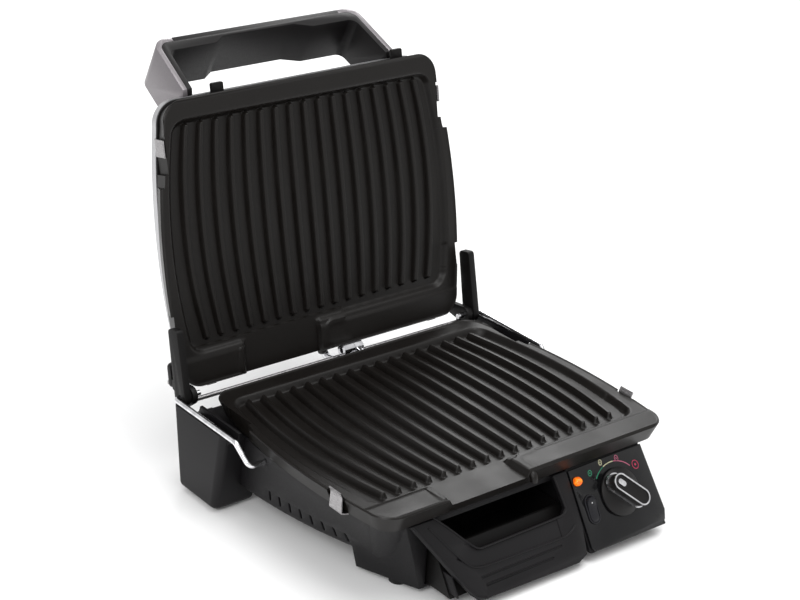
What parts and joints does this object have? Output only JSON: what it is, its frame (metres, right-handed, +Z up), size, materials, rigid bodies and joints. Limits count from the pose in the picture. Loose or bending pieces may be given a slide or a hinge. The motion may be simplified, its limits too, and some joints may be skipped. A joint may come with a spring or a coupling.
{
  "type": "electric indoor grill",
  "caption": "Electric indoor contact grill with a hinged lid shown open, ribbed non-stick plates, front drip tray, thermostat knob and a loop handle.",
  "frame": {"origin": "on the table under the middle of the bounding box of the open grill", "axes": "+X to the user's right, +Y from the control panel to the hinge, +Z up"},
  "size_m": [0.358, 0.4743, 0.366],
  "materials": {
    "plate_nonstick": "non-stick coated die-cast, satin",
    "housing_plastic": "fine-textured dark grey plastic",
    "frame_plastic": "black heat-resistant plastic",
    "panel_gloss": "polished black",
    "lid_metal": "satin silver-grey",
    "cap_metal": "satin silver-grey",
    "chrome": "bright chrome",
    "steel": "plain steel",
    "heater_steel": "aluminised sheet",
    "grip_plastic": "black, fine grain",
    "knob_plastic": "black, ribbed bar",
    "switch_plastic": "black",
    "lens_amber": "amber, translucent",
    "lamp_glass": "clear glass",
    "ceramic": "white insulating block",
    "rubber": "black rubber",
    "sleeve": "glass-fibre sleeve"
  },
  "bodies": {
    "base": {"base_housing": "housing_plastic", "base_bottom_cover": "frame_plastic", "base_screws": "steel", "rubber_feet": "rubber", "control_panel": "panel_gloss", "indicator_lens": "lens_amber", "indicator_lamp": "lamp_glass", "thermostat_body": "frame_plastic", "switch_frame": "switch_plastic", "lower_heater_tray": "heater_steel", "lower_heating_element": "steel", "terminal_block": "ceramic", "thermal_fuse": "sleeve", "cord_inlet_gland": "rubber", "hinge_tower_left": "housing_plastic", "hinge_tower_right": "housing_plastic"},
    "hinge_wires": {"hinge_wire_left": "chrome", "hinge_wire_right": "chrome", "base_conduit": "chrome"},
    "lid": {"lid_shell": "lid_metal", "lid_inner_frame": "frame_plastic", "upper_heater_tray": "heater_steel", "upper_heating_element": "steel", "upper_thermal_cutout": "steel", "lid_screws": "steel", "lid_conduit": "chrome", "plate_tabs": "chrome", "handle_grip": "grip_plastic", "handle_cap_left": "cap_metal", "handle_cap_right": "cap_metal", "hinge_arm_left": "frame_plastic", "hinge_arm_right": "frame_plastic", "lid_bracket_left": "frame_plastic", "lid_bracket_right": "frame_plastic", "tie_rod": "steel"},
    "lower_plate": {"lower_plate": "plate_nonstick"},
    "upper_plate": {"upper_plate": "plate_nonstick"},
    "drip_tray": {"tray_fascia": "housing_plastic", "tray_bin": "frame_plastic"},
    "knob": {"control_knob": "knob_plastic", "knob_trim": "chrome", "thermostat_shaft": "steel"},
    "rocker": {"rocker_switch": "switch_plastic"},
    "lower_clip_left": {"lower_clip_left": "chrome"},
    "lower_clip_right": {"lower_clip_right": "chrome"},
    "upper_clip_left": {"upper_clip_left": "chrome"},
    "upper_clip_right": {"upper_clip_right": "chrome"}
  },
  "joints": [
    {"name": "hinge_float", "type": "hinge", "parent": "base", "child": "hinge_wires", "pos_m": [0, -0.035, 0.068], "axis": [1, 0, 0], "range_deg": [0, 6]},
    {"name": "lid_hinge", "type": "hinge", "parent": "hinge_wires", "child": "lid", "pos_m": [0, 0.076, 0.0844], "axis": [-1, 0, 0], "range_deg": [-102, 72]},
    {"name": "lower_plate_lift", "type": "slide", "parent": "base", "child": "lower_plate", "axis": [0, 0, 1], "range_m": [0, 0.06]},
    {"name": "upper_plate_release", "type": "slide", "parent": "lid", "child": "upper_plate", "axis": [0, -0.6811, 0.7322], "range_m": [0, 0.06]},
    {"name": "drip_tray_slide", "type": "slide", "parent": "base", "child": "drip_tray", "axis": [0, -1, 0], "range_m": [0, 0.12]},
    {"name": "thermostat_turn", "type": "hinge", "parent": "base", "child": "knob", "pos_m": [0.0955, -0.21297, 0.04532], "axis": [0, 0.8387, -0.5446], "range_deg": [0, 108]},
    {"name": "power_rocker", "type": "hinge", "parent": "base", "child": "rocker", "pos_m": [0.0605, -0.21498, 0.03948], "axis": [-1, 0, 0], "range_deg": [0, 14]},
    {"name": "lower_clip_left_swing", "type": "hinge", "parent": "base", "child": "lower_clip_left", "pos_m": [-0.1586, -0.144, 0.066], "axis": [0, -1, 0], "range_deg": [0, 12], "stiffness_Nm_per_rad": 0.4},
    {"name": "lower_clip_right_swing", "type": "hinge", "parent": "base", "child": "lower_clip_right", "pos_m": [0.1586, -0.144, 0.066], "axis": [0, 1, 0], "range_deg": [0, 12], "stiffness_Nm_per_rad": 0.4},
    {"name": "upper_clip_left_swing", "type": "hinge", "parent": "lid", "child": "upper_clip_left", "pos_m": [-0.1602, 0.15779, 0.29188], "axis": [0, -0.2091, -0.9779], "range_deg": [0, 12], "stiffness_Nm_per_rad": 0.4},
    {"name": "upper_clip_right_swing", "type": "hinge", "parent": "lid", "child": "upper_clip_right", "pos_m": [0.1602, 0.15779, 0.29188], "axis": [0, 0.2091, 0.9779], "range_deg": [0, 12], "stiffness_Nm_per_rad": 0.4}
  ]
}
